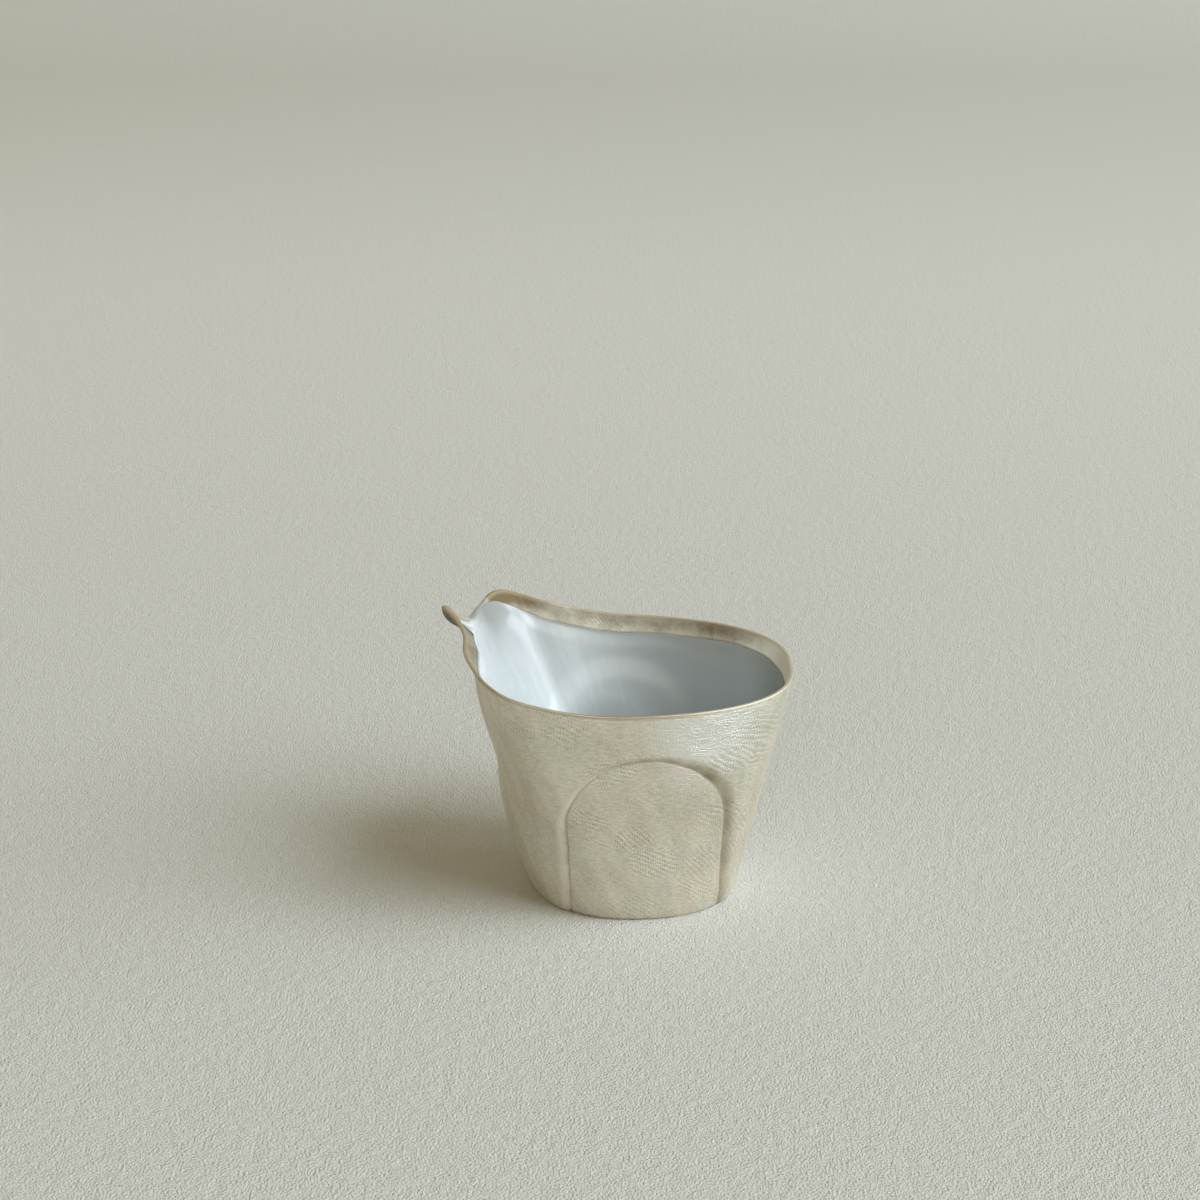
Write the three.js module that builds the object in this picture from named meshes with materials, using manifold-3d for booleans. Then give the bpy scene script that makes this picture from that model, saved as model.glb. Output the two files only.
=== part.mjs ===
// Tea serving pitcher, raised by hand from sheet metal: an oval cup with a pinched beak spout,
// two arch-topped grip panels pressed into its sides, a flat soldered base and a wiped tin lining.
// Millimetres, +Z up. The foot stands on z = 0 with its middle at the origin.
// The spout points along -X, the blunt tail along +X, and the grips lie at -Y and +Y.

import * as THREE from 'three';
import { mergeVertices } from 'three/addons/utils/BufferGeometryUtils.js';
import Module from 'manifold-3d';

// Foot of the wall, measured from the origin, and how it tucks in where it meets the base
const FOOT_TAIL = 31.6;
const FOOT_FRONT = 28.8;
const FOOT_HALF_WIDTH = 26.3;
const FOOT_TUCK = 0.9;
const FOOT_TUCK_HEIGHT = 5.5;

// Mouth in plan, measured from the origin, without the beak
const MOUTH_TAIL = 47;
const MOUTH_FRONT = 45.75;
const MOUTH_HALF_WIDTH = 41.6;
const MOUTH_WIDEST_AT = 28;

// Height of the level rim, and how far the rim climbs towards the spout
const RIM_HEIGHT = 69.25;
const RIM_RISE = 10.7;

// Beak of the spout: how far it juts out, how far down its ridge and its sides begin, and its lift
const BEAK_REACH = 7.65;
const BEAK_DROP = 8;
const BEAK_SIDE_DROP = 1.6;
const BEAK_LIFT = 4;
const BEAK_TWIST = 2.2;

// Near lip beside the beak: its edge flares out over a thumb hollow
const LIP_FLARE = 2.2;
const LIP_FLARE_DROP = 7;
const LIP_HOLLOW = 2.5;
const LIP_HOLLOW_DROP = 8;
const LIP_HOLLOW_SPREAD = 6.5;

// Far lip, hammered up at its corner and down towards the beak, and the near rim's dent inwards
const LIP_WAVE = 2;
const RIM_DENT = 1.6;

// Swell of the wall under the spout, and the hollow of the throat across it
const BELLY_DEPTH = 3.3;
const THROAT_DEPTH = 3.3;
const THROAT_DROP = 38;
const THROAT_SPREAD = 11.5;

// Grip panels: arch outline seen square on, its place along X, and how deep it is pressed
const GRIP_HALF_WIDTH = 23.2;
const GRIP_FOOT_HALF_WIDTH = 21.5;
const GRIP_SPRING_HEIGHT = 30.9;
const GRIP_DEPTH = 1.3;
const GRIP_FOOT_DEPTH = 0.5;
const NEAR_GRIP_X = 4.7;
const FAR_GRIP_X = -1;

// Sheet, base plate, solder and lining
const SHEET = 1;
const BASE_PLATE = 1.2;
const SOLDER_ROOT = 0.5;
const SOLDER_CROWN = 1.3;
const LINING = 0.4;
const CLEARANCE = 0.3;

// Lining's upper edge: degrees round the mouth, and millimetres below the rim there
const LINING_EDGE = [
  [0, 5.6], [16, 5.4], [26, 4.7], [52, 5.2], [78, 6], [104, 5.2], [111, 2.8], [117, 0.8],
  [166, 1], [172, 4], [180, 8], [190, 6.6], [212, 6.3], [240, 5], [300, 5.2], [360, 5.6],
];

// Shape numbers without a unit: how square each outline is, the curve of the climbing rim
// and how quickly the beak grows shallow beside its ridge
const FOOT_SQUARENESS_TAIL = 2.35;
const FOOT_SQUARENESS_FRONT = 2;
const MOUTH_SQUARENESS_TAIL = 2.58;
const MOUTH_SQUARENESS_FRONT = 2.75;
const RIM_RISE_POWER = 1.66;
const BEAK_DROP_POWER = 1.4;

// Places and half-angles about the mouth's widest place
const BELLY_WIDTH = THREE.MathUtils.degToRad(52);
const THROAT_WIDTH = THREE.MathUtils.degToRad(27);
const BEAK_SPREAD = THREE.MathUtils.degToRad(9.6);
const BEAK_ROUNDING = THREE.MathUtils.degToRad(1.5);
const LIP_FLARE_AT = THREE.MathUtils.degToRad(220);
const LIP_FLARE_SPREAD = THREE.MathUtils.degToRad(20);
const LIP_HOLLOW_AT = THREE.MathUtils.degToRad(212);
const LIP_HOLLOW_WIDTH = THREE.MathUtils.degToRad(15);
const LIP_WAVE_AT = THREE.MathUtils.degToRad(115);
const LIP_WAVE_SPREAD = THREE.MathUtils.degToRad(12);
const RIM_DENT_AT = THREE.MathUtils.degToRad(303);
const RIM_DENT_SPREAD = THREE.MathUtils.degToRad(16);

// Fineness of the surfaces: columns crowd towards the beak, and rows run closer beside the beak
const COLUMNS = 76;
const COLUMN_CROWDING = 1.35;
const ROWS = 8;
const RIM_ROWS = 3;
const ARCH_STEPS = 20;
const NORMAL_STEP = 1e-4;

// How far a cutting form runs on past the piece that it cuts
const OVERRUN = 6;

const wasm = await Module();
wasm.setup();

const smooth = (share) => THREE.MathUtils.smoothstep(share, 0, 1);

// 1 at a middle value, fading away to either side of it
const hump = (value, middle, spread) => Math.exp(-(((value - middle) / spread) ** 2));

// 0 at the tail, 1 at the spout
const frontShare = (angle) => smooth((1 - Math.cos(angle)) / 2);

// Radius of a squared oval at an angle, with its own half-length and squareness at each end
function ovalRadius(angle, tail, front, halfWidth, squareTail, squareFront) {
  const along = Math.cos(angle);
  const across = Math.sin(angle);
  const square = THREE.MathUtils.lerp(squareTail, squareFront, frontShare(angle));
  const length = along > 0 ? tail : front;
  const sum = Math.abs(along / length) ** square + Math.abs(across / halfWidth) ** square;
  return sum ** (-1 / square);
}

function footPoint(angle) {
  const radius = ovalRadius(angle, FOOT_TAIL, FOOT_FRONT, FOOT_HALF_WIDTH,
    FOOT_SQUARENESS_TAIL, FOOT_SQUARENESS_FRONT);
  return new THREE.Vector2(radius * Math.cos(angle), radius * Math.sin(angle));
}

function mouthPoint(angle) {
  const tail = MOUTH_TAIL + MOUTH_WIDEST_AT;
  const front = MOUTH_FRONT - MOUTH_WIDEST_AT;
  const radius = ovalRadius(angle, tail, front, MOUTH_HALF_WIDTH,
    MOUTH_SQUARENESS_TAIL, MOUTH_SQUARENESS_FRONT);
  return new THREE.Vector2(radius * Math.cos(angle) - MOUTH_WIDEST_AT, radius * Math.sin(angle));
}

// How far the beak takes hold at an angle: 1 on its ridge, fading to either side
function beakShare(angle) {
  const rounded = Math.hypot(angle - Math.PI, BEAK_ROUNDING) - BEAK_ROUNDING;
  return Math.exp(-rounded / BEAK_SPREAD);
}

// Height of the rim: level round the tail, climbing to the spout, lifted at the beak, waved at the far lip
function rimHeight(angle) {
  const beak = beakShare(angle);
  const x = mouthPoint(angle).x + BEAK_REACH * beak * Math.cos(angle);
  const climb = (Math.max(-x, 0) / MOUTH_FRONT) ** RIM_RISE_POWER;
  const along = (angle - LIP_WAVE_AT) / LIP_WAVE_SPREAD;
  const wave = LIP_WAVE * along * hump(along, 0, 1);
  const across = (angle - Math.PI) / BEAK_SPREAD;
  const twist = BEAK_TWIST * across * hump(across, 0, 1);
  return RIM_HEIGHT + RIM_RISE * climb + BEAK_LIFT * beak + twist - wave;
}

// How far the beak has sprung out of the wall at a drop below the rim, deepest on its ridge
function beakSpring(angle, drop) {
  const share = beakShare(angle);
  const depth = THREE.MathUtils.lerp(BEAK_SIDE_DROP, BEAK_DROP, share ** BEAK_DROP_POWER);
  return share * (1 - THREE.MathUtils.clamp(drop / depth, 0, 1) ** 3);
}

// How far the wall is pushed out, or in where below 0, by its hollows and swells beside the beak
function handPush(angle, z, top) {
  const share = z / top;
  const drop = top - z;
  const belly = BELLY_DEPTH * hump(angle, Math.PI, BELLY_WIDTH) * 4 * share * (1 - share);
  const throat = THROAT_DEPTH * hump(angle, Math.PI, THROAT_WIDTH) * hump(drop, THROAT_DROP, THROAT_SPREAD);
  const flared = THREE.MathUtils.clamp(1 - drop / LIP_FLARE_DROP, 0, 1) ** 2;
  const flare = LIP_FLARE * hump(angle, LIP_FLARE_AT, LIP_FLARE_SPREAD) * flared;
  const sunk = hump(drop, LIP_HOLLOW_DROP, LIP_HOLLOW_SPREAD);
  const hollow = LIP_HOLLOW * hump(angle, LIP_HOLLOW_AT, LIP_HOLLOW_WIDTH) * sunk;
  const dent = RIM_DENT * hump(angle, RIM_DENT_AT, RIM_DENT_SPREAD) * share ** 2;
  const tuck = FOOT_TUCK * THREE.MathUtils.clamp(1 - z / FOOT_TUCK_HEIGHT, 0, 1) ** 2;
  return belly - throat + flare - hollow - dent - tuck;
}

// Point of the wall's outer face, before the grips are pressed, with a beak of the given reach
function wallPoint(angle, z, beakReach) {
  const top = rimHeight(angle);
  const push = handPush(angle, z, top) + beakReach * beakSpring(angle, top - z);
  const plan = footPoint(angle).lerp(mouthPoint(angle), z / top);
  return new THREE.Vector3(plan.x + push * Math.cos(angle), plan.y + push * Math.sin(angle), z);
}

// Point at the same height that lies a given depth inside the wall's outer face
function insetPoint(angle, z, inset) {
  const around = wallPoint(angle + NORMAL_STEP, z, 0).sub(wallPoint(angle - NORMAL_STEP, z, 0));
  const up = wallPoint(angle, z + NORMAL_STEP, 0).sub(wallPoint(angle, z - NORMAL_STEP, 0));
  const inward = up.cross(around).normalize().setZ(0);
  inward.divideScalar(inward.lengthSq());
  return wallPoint(angle, z, BEAK_REACH - inset).addScaledVector(inward, inset);
}

// Closed solid of a geometry, with its seams welded and its faces of no area left out
function solidOf(geometry) {
  geometry.deleteAttribute('normal');
  geometry.deleteAttribute('uv');
  const welded = mergeVertices(geometry);
  const corners = welded.index.array;
  const faces = [];
  for (let i = 0; i < corners.length; i += 3) {
    const [a, b, c] = corners.slice(i, i + 3);
    if (a !== b && b !== c && c !== a) faces.push(a, b, c);
  }
  const vertProperties = welded.attributes.position.array;
  return new wasm.Manifold(new wasm.Mesh({ numProp: 3, vertProperties, triVerts: new Uint32Array(faces) }));
}

function columnAngle(turn) {
  const side = 2 * turn - 1;
  return Math.PI * (1 + Math.sign(side) * Math.abs(side) ** COLUMN_CROWDING);
}

// Row heights above one height, up to and including another
function climb(from, to, rows) {
  const heights = [];
  for (let row = 1; row <= rows; row += 1) heights.push(from + (to - from) * row / rows);
  return heights;
}

// Closed form of the wall's shape: a turned blank whose points are moved onto the wall.
// heightsAt gives a column's heights, bottom to top, and insetAt the depth inside the outer face.
function wallForm(heightsAt, insetAt) {
  const rowCount = heightsAt(0).length;
  const profile = [new THREE.Vector2(0, 0)];
  for (let row = 0; row < rowCount; row += 1) profile.push(new THREE.Vector2(1, row));
  profile.push(new THREE.Vector2(0, rowCount));
  const blank = new THREE.LatheGeometry(profile, COLUMNS);
  const turns = blank.attributes.uv;
  const places = blank.attributes.position;
  const bottomMiddle = new THREE.Vector3(0, 0, heightsAt(0)[0]);
  const topMiddle = new THREE.Vector3(0, 0, heightsAt(0)[rowCount - 1]);
  for (let i = 0; i < places.count; i += 1) {
    const angle = columnAngle(turns.getX(i) % 1);
    const heights = heightsAt(angle);
    const row = Math.round(turns.getY(i) * (rowCount + 1)) - 1;
    let place = bottomMiddle;
    if (row === rowCount) place = topMiddle;
    if (row >= 0 && row < rowCount) place = insetPoint(angle, heights[row], insetAt(heights[row]));
    places.setXYZ(i, place.x, place.y, place.z);
  }
  return solidOf(blank);
}

// Prism of a grip's arch, running from the middle of the cup out through the near or the far side
function gripPrism(x, isFar, grow) {
  const reach = 2 * MOUTH_HALF_WIDTH;
  const half = GRIP_HALF_WIDTH + grow;
  const foot = GRIP_FOOT_HALF_WIDTH + grow;
  const arch = new THREE.Shape();
  arch.moveTo(x - foot, -OVERRUN);
  arch.lineTo(x + foot, -OVERRUN);
  arch.lineTo(x + foot, 0);
  arch.lineTo(x + half, GRIP_SPRING_HEIGHT);
  arch.absarc(x, GRIP_SPRING_HEIGHT, half, 0, Math.PI, false);
  arch.lineTo(x - foot, 0);
  const settings = { depth: reach, bevelEnabled: false, curveSegments: ARCH_STEPS };
  const prism = new THREE.ExtrudeGeometry(arch, settings);
  prism.rotateX(Math.PI / 2);
  if (isFar) prism.translate(0, reach, 0);
  return solidOf(prism);
}

// Depth of a grip at a height: shallow at the foot, full at the spring of its arch
const gripDepth = (z) => THREE.MathUtils.lerp(GRIP_FOOT_DEPTH, GRIP_DEPTH, smooth(z / GRIP_SPRING_HEIGHT));

// Wall form with both grips pressed in, their arches grown to suit the form's depth inside the wall
function pressedForm(heightsAt, insetAt, grow) {
  const longer = (angle) => {
    const heights = heightsAt(angle);
    return [heights[0] - OVERRUN, ...heights, heights[heights.length - 1] + OVERRUN];
  };
  const pressed = wallForm(longer, (z) => insetAt(z) + gripDepth(z));
  const nearCut = gripPrism(NEAR_GRIP_X, false, grow).subtract(pressed);
  const farCut = gripPrism(FAR_GRIP_X, true, grow).subtract(pressed);
  return wallForm(heightsAt, insetAt).subtract(nearCut).subtract(farCut);
}

function meshOf(name, solid, colour, roughness) {
  const { vertProperties, triVerts } = solid.getMesh();
  const geometry = new THREE.BufferGeometry();
  geometry.setAttribute('position', new THREE.BufferAttribute(vertProperties, 3));
  geometry.setIndex(new THREE.BufferAttribute(triVerts, 1));
  geometry.computeVertexNormals();
  const material = new THREE.MeshStandardMaterial({ color: colour, roughness, metalness: 1 });
  const mesh = new THREE.Mesh(geometry, material);
  mesh.name = name;
  return mesh;
}

const insideWall = SHEET + CLEARANCE;
const insideLining = insideWall + LINING;

// Heights of the wall's rows, and the same rows run out past the foot and the rim
const wallRows = (angle) => {
  const top = rimHeight(angle);
  const beakRoot = top - BEAK_DROP;
  const foot = [0, FOOT_TUCK_HEIGHT / 2, FOOT_TUCK_HEIGHT];
  return [...foot, ...climb(FOOT_TUCK_HEIGHT, beakRoot, ROWS), ...climb(beakRoot, top, RIM_ROWS)];
};
const throughRows = (angle) => [-OVERRUN, ...wallRows(angle), rimHeight(angle) + OVERRUN];

// Wall: the outer form less the inner one
function bodyWall() {
  const outer = pressedForm(wallRows, () => 0, 0);
  const inner = pressedForm(throughRows, () => SHEET, SHEET);
  return meshOf('body_wall', outer.subtract(inner), 0xb9b0a0, 0.35);
}

// Inner face of the solder: a plain oval inside the grips, wider at the plate's top than below
const solderFace = (z) => {
  const width = THREE.MathUtils.lerp(SOLDER_ROOT, SOLDER_CROWN, z / BASE_PLATE);
  return insideWall + gripDepth(BASE_PLATE) + width;
};

// Base plate: an oval with a bevelled edge, flush with the foot and let into the wall
function basePlate() {
  const plate = wallForm(() => [0, BASE_PLATE], (z) => solderFace(z) + CLEARANCE);
  return meshOf('base_plate', plate, 0xb0a796, 0.4);
}

// Solder that fills the seam between the plate's bevelled edge and the foot of the wall
function baseSolderSeam() {
  const seam = pressedForm(() => [0, BASE_PLATE], () => insideWall, insideWall);
  const longer = () => [-OVERRUN, 0, BASE_PLATE, BASE_PLATE + OVERRUN];
  const hollow = wallForm(longer, solderFace);
  return meshOf('base_solder_seam', seam.subtract(hollow), 0x9a9a98, 0.5);
}

// Height of the lining's upper edge
function liningEdge(angle) {
  const degrees = THREE.MathUtils.radToDeg(angle);
  const next = Math.max(1, LINING_EDGE.findIndex(([place]) => place >= degrees));
  const [[before, dropBefore], [after, dropAfter]] = LINING_EDGE.slice(next - 1, next + 1);
  const drop = THREE.MathUtils.mapLinear(degrees, before, after, dropBefore, dropAfter);
  return rimHeight(angle) - drop;
}

// Lining: a thin skin over the plate and the wall, with a wandering upper edge
function tinLining() {
  const floor = BASE_PLATE + CLEARANCE;
  const wiped = wallForm((angle) => [floor, liningEdge(angle)], () => -OVERRUN);
  const open = wallForm((angle) => [floor + LINING, rimHeight(angle) + OVERRUN], () => -OVERRUN);
  const skin = pressedForm(throughRows, () => insideWall, insideWall).intersect(wiped);
  const hollow = pressedForm(throughRows, () => insideLining, insideLining).intersect(open);
  return meshOf('tin_lining', skin.subtract(hollow), 0xc9ced6, 0.3);
}

const pitcher = new THREE.Group();
pitcher.name = 'tea_serving_pitcher';
pitcher.add(bodyWall(), basePlate(), baseSolderSeam(), tinLining());

export default pitcher;
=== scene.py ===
"""Tea serving pitcher: a hand-hammered metal cup with a pinched beak, two pressed grip panels,
a soldered base plate and a wiped tin lining. Lengths are in millimetres until a piece is placed."""

import math

import bmesh
import bpy
import numpy as np
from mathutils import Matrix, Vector, noise


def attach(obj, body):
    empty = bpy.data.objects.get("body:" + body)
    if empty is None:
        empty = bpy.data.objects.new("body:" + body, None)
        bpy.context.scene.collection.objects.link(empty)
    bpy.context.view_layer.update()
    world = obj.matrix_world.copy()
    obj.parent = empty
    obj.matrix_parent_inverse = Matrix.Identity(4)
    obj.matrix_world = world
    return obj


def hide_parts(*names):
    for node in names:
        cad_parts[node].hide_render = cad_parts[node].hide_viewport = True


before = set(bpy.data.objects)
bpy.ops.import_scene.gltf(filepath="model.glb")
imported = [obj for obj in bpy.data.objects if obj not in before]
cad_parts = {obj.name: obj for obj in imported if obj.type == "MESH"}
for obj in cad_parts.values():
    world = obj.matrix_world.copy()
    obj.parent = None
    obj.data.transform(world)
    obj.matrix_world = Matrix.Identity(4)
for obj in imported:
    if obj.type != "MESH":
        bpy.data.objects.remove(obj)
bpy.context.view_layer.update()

MM = 0.001
CYCLE = 2 * math.pi

# Foot of the wall
FOOT_TAIL = 31.6
FOOT_FRONT = 28.8
FOOT_HALF_WIDTH = 26.3
FOOT_SQUARENESS_TAIL = 2.35
FOOT_SQUARENESS_FRONT = 2.0
FOOT_TUCK = 0.9
FOOT_TUCK_HEIGHT = 5.5
FOOT_ROUNDING = 0.8

# Mouth and rim
MOUTH_TAIL = 47.0
MOUTH_FRONT = 45.75
MOUTH_HALF_WIDTH = 41.6
MOUTH_WIDEST_AT = 28.0
MOUTH_SQUARENESS_TAIL = 2.58
MOUTH_SQUARENESS_FRONT = 2.75
RIM_HEIGHT = 69.25
RIM_RISE = 10.7
RIM_RISE_POWER = 1.66
RIM_DENT = 1.6
RIM_DENT_AT = math.radians(303)
RIM_DENT_SPREAD = math.radians(16)

# Beak, and the lips beside it
BEAK_REACH = 7.65
BEAK_SPREAD = math.radians(9.6)
BEAK_ROUNDING = math.radians(1.5)
BEAK_DROP = 8.0
BEAK_SIDE_DROP = 1.6
BEAK_DROP_POWER = 1.4
BEAK_LIFT = 4.0
BEAK_TWIST = 2.2
LIP_FLARE = 2.2
LIP_FLARE_DROP = 7.0
LIP_FLARE_AT = math.radians(220)
LIP_FLARE_SPREAD = math.radians(20)
LIP_HOLLOW = 2.5
LIP_HOLLOW_DROP = 8.0
LIP_HOLLOW_SPREAD = 6.5
LIP_HOLLOW_AT = math.radians(212)
LIP_HOLLOW_WIDTH = math.radians(15)
LIP_WAVE = 2.0
LIP_WAVE_AT = math.radians(115)
LIP_WAVE_SPREAD = math.radians(12)

# Belly and throat under the spout
BELLY_DEPTH = 3.3
BELLY_WIDTH = math.radians(52)
THROAT_DEPTH = 3.3
THROAT_DROP = 38.0
THROAT_SPREAD = 11.5
THROAT_WIDTH = math.radians(27)

# Grip panels: the arch, the pressed flank round it and the chased crease line
GRIP_HALF_WIDTH = 23.2
GRIP_FOOT_HALF_WIDTH = 21.5
GRIP_SPRING_HEIGHT = 30.9
GRIP_DEPTH = 1.3
GRIP_FOOT_DEPTH = 0.5
NEAR_GRIP_X = 4.7
FAR_GRIP_X = -1.0
FLANK_SIDE = 2.4
FLANK_SHOULDER = 2.6
FLANK_SHOULDER_AT = math.radians(42)
FLANK_SHOULDER_SPREAD = math.radians(26)
FLANK_INSIDE = 8.0
FLANK_INSIDE_START = 2.5
CREASE_DEPTH = 0.2
CREASE_WIDTH = 0.3
CREASE_WANDER = 0.15

# Sheet, plate, solder and lining
SHEET = 1.0
RIM_ROUNDING = 0.22
BASE_PLATE = 1.2
SEAM_ROOT = 2.3
SEAM_CROWN = 3.1
SEAM_LAP = 0.02
LINING_FLOOR = 1.9
LINING_BACK = 0.05
LINING_EDGE_THICKNESS = 0.2
LINING_BODY_THICKNESS = 0.6
LINING_FEATHER = 5.0
LINING_CORNER = 3.0
LINING_BEAK_LIFT = 0.4
LINING_BEAK_LIFT_DROP = 10

# Lining's upper edge: degrees round the mouth, and millimetres below the rim there
LINING_EDGE = [(0, 5.6), (8, 6.0), (16, 5.4), (26, 4.7), (40, 5.2), (52, 5.2), (65, 5.7), (78, 6.0),
               (91, 5.9), (104, 5.2), (111, 2.8), (117, 0.7), (124, 0.5), (160, 0.5), (166, 0.8),
               (174, 1.6), (180, 2.6), (188, 3.0), (200, 3.2), (215, 3.4), (228, 4.0), (240, 4.6),
               (300, 5.2), (360, 5.6)]

# How brown the bare metal inside the rim has gone: degrees round the mouth, and share of the brown
BAND_BROWN = [(0, 0.0), (14, 0.1), (28, 0.55), (46, 0.55), (60, 0.45), (80, 0.4), (94, 0.75),
              (106, 1.0), (113, 1.0), (120, 0.2), (160, 0.1), (170, 0.6), (190, 0.65), (205, 0.6),
              (225, 0.6), (250, 0.7), (302, 0.8), (312, 0.6), (324, 0.25), (340, 0.08), (360, 0.0)]

# Brown patina in the crease, painted shade on the flank and painted highlights beside the crease round a
# grip: degrees about the spring of its arch, and strength or place there
FLANK_SHADE = [(0, 0.6), (42, 0.95), (90, 0.6), (135, 0.25), (160, 0.0)]
HIGHLIGHT_STRENGTH = [(0, 0.35), (100, 0.35), (130, 0.8), (160, 0.95), (180, 0.9)]
HIGHLIGHT_PLACE = [(0, -0.45), (100, -0.45), (130, 0.8), (180, 1.5)]
HIGHLIGHT_WIDTH_ON_PANEL = 0.28
HIGHLIGHT_WIDTH_ON_FLANK = 1.1
CREASE_STAIN = 0.65
CREASE_STAIN_WIDTH = 0.35
FLANK_SHADE_EASE = 0.4
PATINA_AND_SHADE_LEVEL = 0.8
PATINA_AND_SHADE_PATCHES = 0.45
PATINA_AND_SHADE_PATCH_WIDTH = 4.5

# Upright score lines beside the crease: place and width across it, middle and spread in height, strength
SCORE_LEFT = (-5.5, 1.8, 17, 8, 1.0)
SCORE_RIGHT = (-1.6, 1.3, 20, 14, 0.7)

# Chisel marks: strength outside and inside, and the shoulder towards the tail, where the marks are
# stronger and a painted highlight whitens the metal
STRUCK_OUTSIDE = 0.85
STRUCK_INSIDE = 0.35
SHOULDER_AT = math.radians(324)
SHOULDER_SPREAD = math.radians(15)
SHOULDER_START = 36.0
SHOULDER_RISE = 22.0
CLEAN_RIM = 0.2
CLEAN_RIM_FADE = 1.5

# Painted shade under the beak and on the near lip, and tin on the far lip: places round the mouth
# and drops below the rim, each with the length over which it fades
UNDER_BEAK_AT = math.radians(183)
UNDER_BEAK_SPREAD = math.radians(16)
UNDER_BEAK_DROPS = (0.4, 1.0, 5, 7)
NEAR_LIP = (168, 8, 222, 14)
NEAR_LIP_SHADE = 0.4
NEAR_LIP_DROPS = (0.5, 1.0)
FAR_LIP = (114, 7, 157, 9)
FAR_LIP_DROPS = (0.8, 1.5)

# Painted shade on the lining: tail side, far corner, panels, edge and floor
TAIL_SHADE = 0.95
FAR_CORNER_AT = math.radians(118)
FAR_CORNER_SPREAD = math.radians(28)
FAR_CORNER_DROP = 30
PANEL_SHADE = 0.65
PANEL_SHADE_START = -1
PANEL_SHADE_EASE = 12
EDGE_SHADE = 0.8
FLOOR_SHADE = 0.6
FLOOR_SHADE_RISE = 7

# Hand-work left in the surfaces: height and width of soft dents, ripples and waves
HAMMER_DEPTH = 0.05
HAMMER_WIDTH = 7.0
HAMMER_SETTLE = 1.4
LINING_RIPPLE = 0.06
LINING_RIPPLE_WIDTH = 9.0
LINING_RIPPLE_EASE = 2
SOLDER_WAVES = 0.06
SOLDER_WAVE_WIDTH = 2.4

# Fineness of the turned blanks
COLUMN_CROWDING = 1.15
WALL_COLUMNS = 440
WALL_ROWS = 100
BAND_ROWS = 14
DEEP_ROWS = 16
CREASE_ZONE = 2.6
LINING_COLUMNS = 320
LINING_ROWS = 70
LINING_FINE_ROWS = 21
LINING_COARSE_STEP = 7
LINING_EDGE_ROW = 0.12
BAND_START = 0.87
BLANK_HEIGHT = 100
BASE_COLUMNS = 160
SEAM_COLUMNS = 240

# Colours of the metals, the tin, the solder and the paper
WARM_METAL = (0.82, 0.765, 0.655, 1)
GREY_METAL = (0.81, 0.785, 0.68, 1)
SHOULDER_HIGHLIGHT_WHITE = (0.97, 0.97, 0.935, 1)
HIGHLIGHT_METAL = (0.88, 0.83, 0.72, 1)
GRIME = (0.42, 0.36, 0.26, 1)
PATINA_AND_SHADE_BROWN = (0.40, 0.325, 0.215, 1)
BARE_BRONZE = (0.96, 0.925, 0.80, 1)
BROWN_BRONZE = (0.22, 0.155, 0.08, 1)
LINING_STAIN = (0.22, 0.155, 0.085, 1)
RIM_BROWN = (0.42, 0.33, 0.20, 1)
BEAK_SHADE = (0.25, 0.25, 0.205, 1)
TINNED_LIP = (0.52, 0.55, 0.555, 1)
TIN_STREAK = (0.81, 0.87, 0.905, 1)
TIN_WIPED = (0.88, 0.935, 0.97, 1)
TIN_SHADE = (0.37, 0.39, 0.39, 1)
PLATE_METAL = (0.76, 0.70, 0.58, 1)
PLATE_STAIN = (0.62, 0.55, 0.42, 1)
SOLDER_GREY = (0.58, 0.58, 0.57, 1)
SOLDER_STAIN = (0.42, 0.41, 0.39, 1)
PAPER_LOW = (0.722, 0.722, 0.69, 1)
PAPER_HIGH = (0.772, 0.772, 0.736, 1)
PAPER_SHADED_BEHIND = (0.61, 0.61, 0.565, 1)

# Paper sweep, in metres
PAPER_SIDE = 3
PAPER_FRONT = -2.5
PAPER_FLAT_END = 1.7
PAPER_BEND = 0.9
PAPER_TOP = 2.2
PAPER_BEND_STEPS = 32

# Windows: name, place, width and height, power, colour
WINDOWS = [("window_light", (4.99, -2.66, 5.66), (5.5, 7.0), 570, (0.85, 0.93, 1.0)),
           ("side_window", (8.0, 0.2, 1.4), (6.0, 2.0), 240, (0.83, 0.92, 1.0)),
           ("front_window", (-0.3, -3.6, 1.7), (3.0, 1.6), 15, (0.90, 0.96, 1.0))]
WINDOW_AIM = (0, 0, 0.05)
ROOM_COLOUR = (1.0, 0.82, 0.45, 1)
ROOM_STRENGTH = 0.29

# Camera at the photograph's angle
CAMERA_PLACE = (-0.008316, -0.6265, 0.3230)
CAMERA_TILT = math.radians(69.5)
CAMERA_LENS = 70.71
CAMERA_SENSOR = 36


def smooth(share):
    share = np.clip(share, 0, 1)
    return share * share * (3 - 2 * share)


def hump(value, middle, spread):
    return np.exp(-(((value - middle) / spread) ** 2))


def fading(value, start, length):
    return 1 - smooth((value - start) / length)


def along_table(degrees, table):
    return np.interp(degrees, *zip(*table))


def rim_stretch(angle, start, start_ease, end, end_ease):
    """Share that is 1 along a stretch of the rim and fades at its ends, given in degrees."""
    degrees = np.degrees(angle)
    return smooth((degrees - start) / start_ease) * fading(degrees, end, end_ease)


def blend(first, second, share):
    return first + (second - first) * share


def front_share(angle):
    return smooth((1 - np.cos(angle)) / 2)


def squared_oval(angle, tail, front, half_width, square_tail, square_front):
    along = np.cos(angle)
    across = np.sin(angle)
    square = blend(square_tail, square_front, front_share(angle))
    length = np.where(along > 0, tail, front)
    total = np.abs(along / length) ** square + np.abs(across / half_width) ** square
    return total ** (-1 / square)


def foot_outline(angle):
    radius = squared_oval(angle, FOOT_TAIL, FOOT_FRONT, FOOT_HALF_WIDTH,
                          FOOT_SQUARENESS_TAIL, FOOT_SQUARENESS_FRONT)
    return radius * np.cos(angle), radius * np.sin(angle)


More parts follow.
